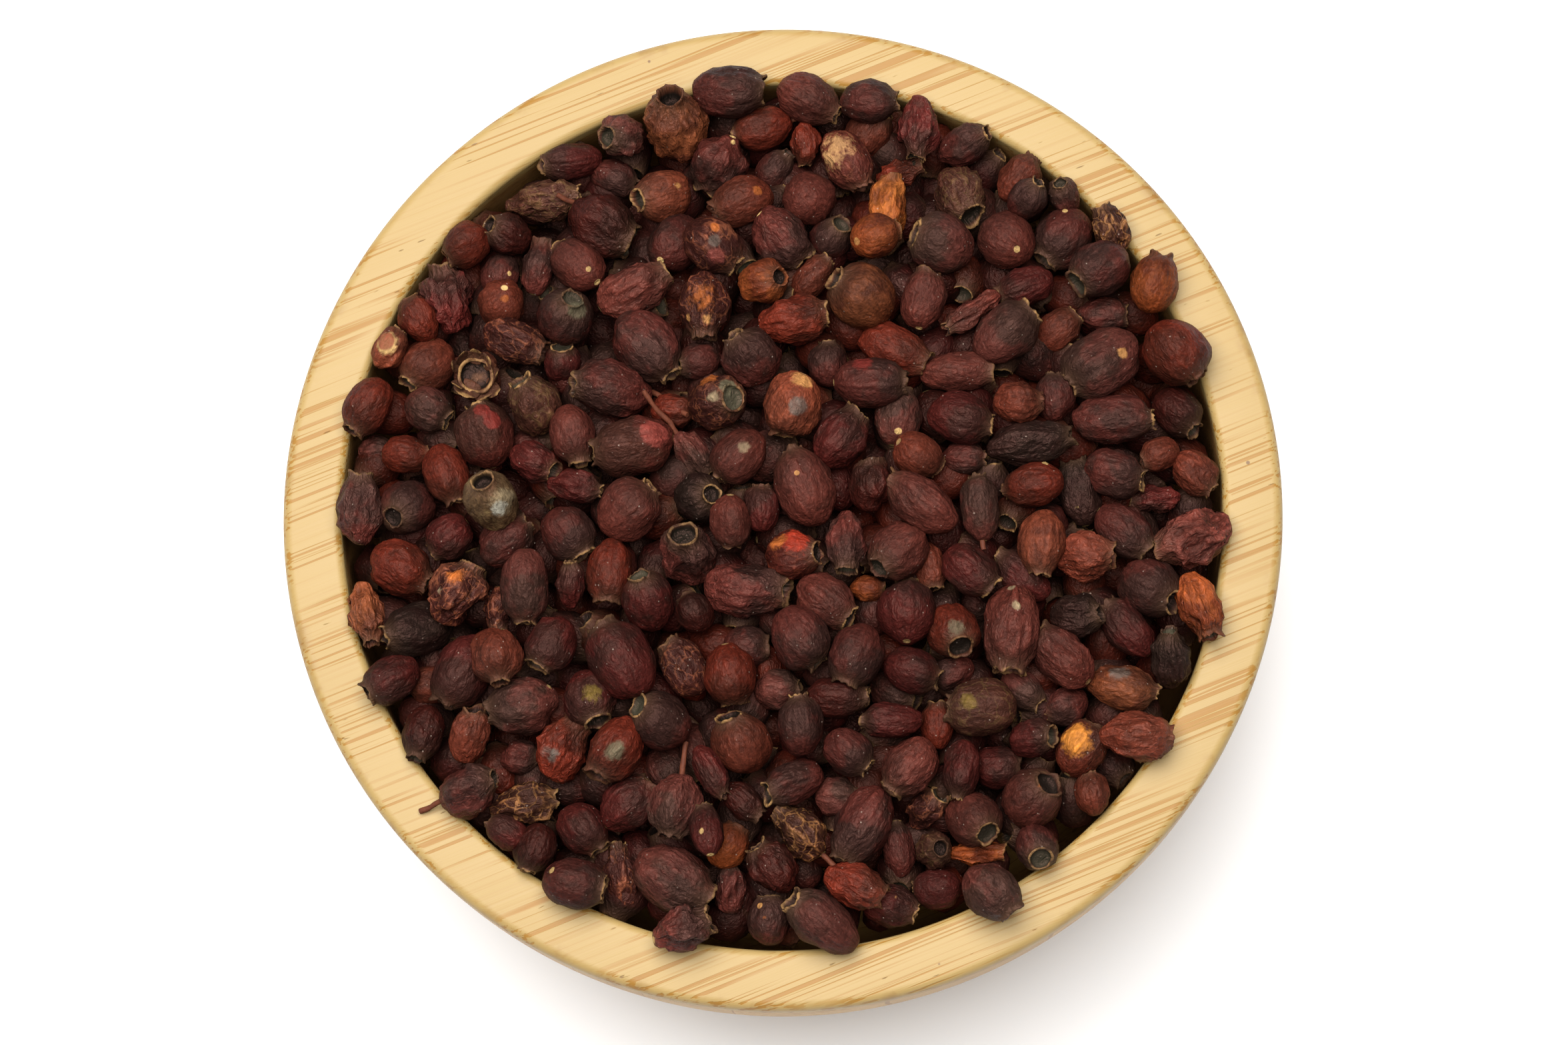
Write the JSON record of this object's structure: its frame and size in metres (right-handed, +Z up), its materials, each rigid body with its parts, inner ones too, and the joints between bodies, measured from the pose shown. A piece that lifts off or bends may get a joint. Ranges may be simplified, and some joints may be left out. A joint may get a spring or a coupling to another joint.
{
  "type": "bowl of dried hawthorn berries",
  "caption": "Round thick-walled bamboo bowl filled a little above its rim with dried hawthorn berries, each with a dried crown at one end.",
  "frame": {"origin": "on the table under the bowl's axis", "axes": "+Z up along the bowl's axis; +Y away from the viewer across the bowl; +X to the viewer's right"},
  "size_m": [0.13, 0.13, 0.0706],
  "materials": {
    "bamboo": "satin",
    "dried_skin": "matte"
  },
  "bodies": {
    "root": {"bowl": "bamboo", "berry_heap": "dried_skin"}
  },
  "joints": []
}
